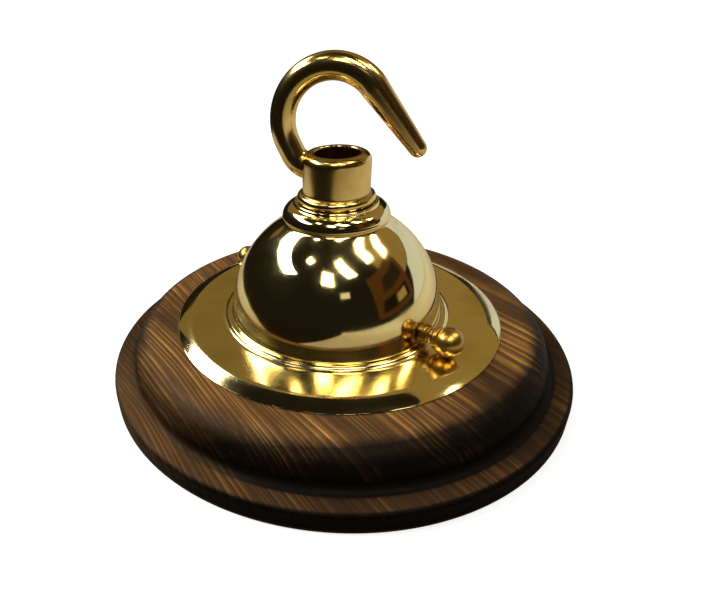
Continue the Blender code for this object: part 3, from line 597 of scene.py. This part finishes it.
def pale_paper(name):
    """White paper sweep: it shows as white to the eye and in the metal, and keeps the object's shadow."""
    material, tree, output = blank(name)
    glow = add(tree, "Math", {0: seen_directly(tree), 1: 0.8}, operation="MULTIPLY").outputs[0]
    paper = add(tree, "BsdfDiffuse", {"Color": shade("#a6a6a6")}).outputs[0]
    light = add(tree, "Emission", {"Color": shade("#ffffff"), "Strength": glow}).outputs[0]
    both = add(tree, "AddShader", {0: paper, 1: light}).outputs[0]
    tree.links.new(both, output.inputs["Surface"])
    return material


def sheet(name, corners, material):
    """A flat sheet of the set between its corners."""
    mesh = bpy.data.meshes.new(name)
    mesh.from_pydata(corners, [], [tuple(range(len(corners)))])
    mesh.materials.append(material)
    made = bpy.data.objects.new(name, mesh)
    bpy.context.scene.collection.objects.link(made)
    return made


def ground(name, left, middle, right):
    """Matt ground that shows only in the polish, with colours at 220 mm left, 30 mm left and 220 mm right."""
    material, tree, output = blank(name)
    place = add(tree, "TexCoord").outputs["Object"]
    aside = add(tree, "SeparateXYZ", {"Vector": place}).outputs["X"]
    share = add(tree, "MapRange", {"Value": aside, "From Min": -0.22, "From Max": 0.22}).outputs["Result"]
    tone = add(tree, "ValToRGB", {"Fac": share}, ((0.0, shade(left)), (1.0, shade(right)),
                                                  (0.43, shade(middle)))).outputs["Color"]
    matt = add(tree, "BsdfDiffuse", {"Color": tone})
    tree.links.new(matt.outputs[0], output.inputs["Surface"])
    return material


sheet("paper_floor", [(-6, -6, 0), (6, -6, 0), (6, 6, 0), (-6, 6, 0)], pale_paper("white_paper"))
# the ground as the polish shows it: shaded paper, and dark ground on the left
SHADED = [(-20, -20), (20, -20), (20, 20), (-20, 20)]
DARK = [(-3, 20), (-0.09, 0.16), (-0.2, 0.13), (-0.226, 0.047), (-0.172, -0.02), (-0.098, -0.054), (-0.06, -0.097),
        (-0.04, -0.173), (0.084, -0.673), (3, -20), (-20, -20), (-20, 20)]
for name, corners, level, colours in (("shaded_paper", SHADED, 0.0005, ("#cdc8ba", "#978d78", "#c6c1b1")),
                                      ("dark_ground", DARK, 0.001, ("#18140e", "#18140e", "#18140e"))):
    flag = sheet(name, [(x, y, level) for x, y in corners], ground(name, *colours))
    flag.visible_camera = False
    flag.visible_shadow = False
    flag.visible_diffuse = False

# Cards: bearings from +Y towards +X and heights, distance, colour and strength
panel("room_shell", [(-180, -2), (180, -2), (180, 90), (-180, 90)], 16.0, "#1d1a14", 1.0)
panel("window_strip", [(-43, 34), (-100, 37), (-116, 46), (-43, 51)], 12.0, "#fffcf4", 16.0)
panel("soft_box", [(-180, 56), (180, 56), (180, 90), (-180, 90)], 10.0, "#fffdf8", 1.8, True, False)
panel("pale_card", [(22, 0), (88, 0), (68, 21), (36, 21)], 12.5, "#f6fbff", 0.72)
panel("warm_wall", [(6, 22), (104, 22), (104, 62), (6, 62)], 14.0, "#8f7846", 1.0)
panel("dim_wall", [(-42, 16), (6, 16), (6, 60), (-42, 60)], 14.5, "#7d6a3c", 1.0)
panel("brown_card", [(84, 5), (132, 5), (132, 46), (72, 46)], 13.5, "#4f3318", 1.0)
panel("ceiling_lamp_near", [(140, 54), (156, 54), (180, 72), (160, 76)], 11.0, "#fff3d2", 18.0, False)
panel("ceiling_lamp_right", [(94, 55), (110, 57), (98, 71), (80, 69)], 11.0, "#fff3d2", 14.0, False)
panel("ceiling_lamp_back", [(70, 43), (82, 45), (70, 54), (57, 51)], 11.0, "#fff3d2", 14.0, False)
panel("ceiling_lamp_left", [(-179, 47), (-160, 48), (-156, 61), (-176, 60)], 11.0, "#fff3d2", 12.0, False)
panel("ceiling_lamp_side", [(-109, 61), (-121, 61), (-124, 66), (-107, 66)], 11.0, "#fff3d2", 16.0, False)
panel("small_pale_card", [(160, 34), (172, 34), (172, 40), (160, 40)], 11.0, "#fff4dc", 0.8, False)
panel("dark_card_low", [(88, 9), (126, 9), (122, 20), (86, 20)], 13.0, "#17130d", 1.0, False)
panel("dark_card_high", [(84, 26), (118, 26), (112, 38), (80, 38)], 13.0, "#2a2015", 1.0, False)
panel("tan_card", [(92, 11), (106, 11), (104, 18), (91, 18)], 12.8, "#a08a58", 1.0, False)

# Pale air
world = bpy.data.worlds.new("pale_studio")
world.use_nodes = True
world.node_tree.nodes.clear()
air = add(world.node_tree, "Background", {"Color": shade("#ffffff"),
                                          "Strength": seen_directly(world.node_tree)}).outputs[0]
world.node_tree.links.new(air, add(world.node_tree, "OutputWorld").inputs["Surface"])
bpy.context.scene.world = world

# Camera at the photograph's place: right, up and back directions as columns
camera_data = bpy.data.cameras.new("view")
camera_data.sensor_width = 36.0
camera_data.lens = 28.406
camera_data.shift_x = 0.12275
camera_data.shift_y = 0.04028
camera_data.clip_start = 0.01
camera = bpy.data.objects.new("view", camera_data)
bpy.context.scene.collection.objects.link(camera)
camera.matrix_world = Matrix(((0.9923, -0.0190, 0.1226, 0.0),
                              (0.1131, 0.5448, -0.8309, -0.16121),
                              (-0.0510, 0.8383, 0.5427, 0.11554),
                              (0.0, 0.0, 0.0, 1.0)))
bpy.context.scene.camera = camera
bpy.context.scene.view_settings.view_transform = "Standard"
